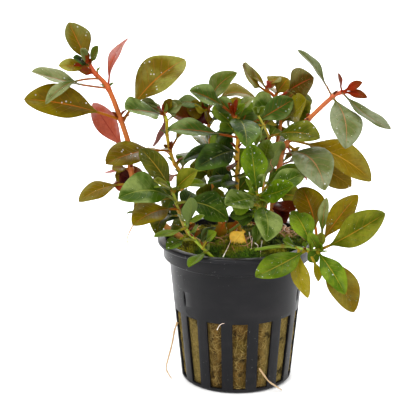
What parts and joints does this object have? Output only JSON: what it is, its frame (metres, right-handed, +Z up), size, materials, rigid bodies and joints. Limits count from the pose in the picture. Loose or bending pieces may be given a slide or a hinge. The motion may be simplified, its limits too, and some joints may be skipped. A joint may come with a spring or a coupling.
{
  "type": "potted aquarium plant",
  "caption": "Leafy aquarium stem plant with olive, green and red-tinged leaves, rooted in rock wool in a tapered black slotted net pot.",
  "frame": {"origin": "centre of the pot's flat underside", "axes": "+Z up along the pot's axis; the side seen in the picture faces -Y, and +X is its right"},
  "size_m": [0.1228, 0.0789, 0.1274],
  "materials": {
    "pot": "satin black",
    "rock_wool": "damp fibrous",
    "moss": "damp",
    "root": "damp",
    "dead_leaf": "damp",
    "red_stem": "satin",
    "yellow_stem": "satin",
    "olive_leaf": "satin",
    "green_leaf": "satin",
    "dark_leaf": "satin"
  },
  "bodies": {
    "root": {"pot": "pot", "rock_wool": "rock_wool", "moss": "moss", "side_root": "root", "dead_leaf": "dead_leaf", "stem_left_tall": "red_stem", "stem_left_inner": "yellow_stem", "stem_left_front": "yellow_stem", "stem_left_rim": "yellow_stem", "stem_back_left": "yellow_stem", "stem_centre": "yellow_stem", "stem_centre_pale": "yellow_stem", "stem_back_right": "red_stem", "stem_right_arch": "red_stem", "stem_front_centre": "yellow_stem", "stem_right_rim": "yellow_stem", "leaf_left_tall_1": "olive_leaf", "leaf_left_tall_2": "olive_leaf", "leaf_left_tall_3": "olive_leaf", "leaf_left_tall_4": "olive_leaf", "leaf_left_tall_5": "olive_leaf", "leaf_left_tall_6": "olive_leaf", "leaf_left_inner_1": "olive_leaf", "leaf_left_inner_2": "olive_leaf", "leaf_left_front_1": "green_leaf", "leaf_left_front_2": "green_leaf", "leaf_left_front_3": "green_leaf", "leaf_left_front_4": "green_leaf", "leaf_left_front_5": "green_leaf", "leaf_back_left_1": "dark_leaf", "leaf_back_left_2": "dark_leaf", "leaf_centre_1": "dark_leaf", "leaf_centre_2": "dark_leaf", "leaf_centre_3": "dark_leaf", "leaf_centre_4": "dark_leaf", "leaf_centre_5": "dark_leaf", "leaf_centre_pale_1": "green_leaf", "leaf_back_right_1": "olive_leaf", "leaf_back_right_2": "olive_leaf", "leaf_back_right_3": "olive_leaf", "leaf_back_right_4": "olive_leaf", "leaf_right_arch_1": "olive_leaf", "leaf_right_arch_2": "olive_leaf", "leaf_right_arch_3": "olive_leaf", "leaf_right_arch_4": "olive_leaf", "leaf_right_arch_5": "olive_leaf", "leaf_front_centre_1": "green_leaf", "leaf_front_centre_2": "green_leaf", "leaf_front_centre_3": "green_leaf", "leaf_front_centre_4": "green_leaf", "leaf_front_centre_5": "green_leaf", "leaf_right_rim_1": "green_leaf", "leaf_right_rim_2": "green_leaf", "leaf_right_rim_3": "green_leaf", "leaf_right_rim_4": "green_leaf", "leaf_right_rim_5": "green_leaf", "leaf_right_rim_6": "green_leaf", "leaf_right_rim_7": "green_leaf", "leaf_right_rim_8": "green_leaf"}
  },
  "joints": []
}
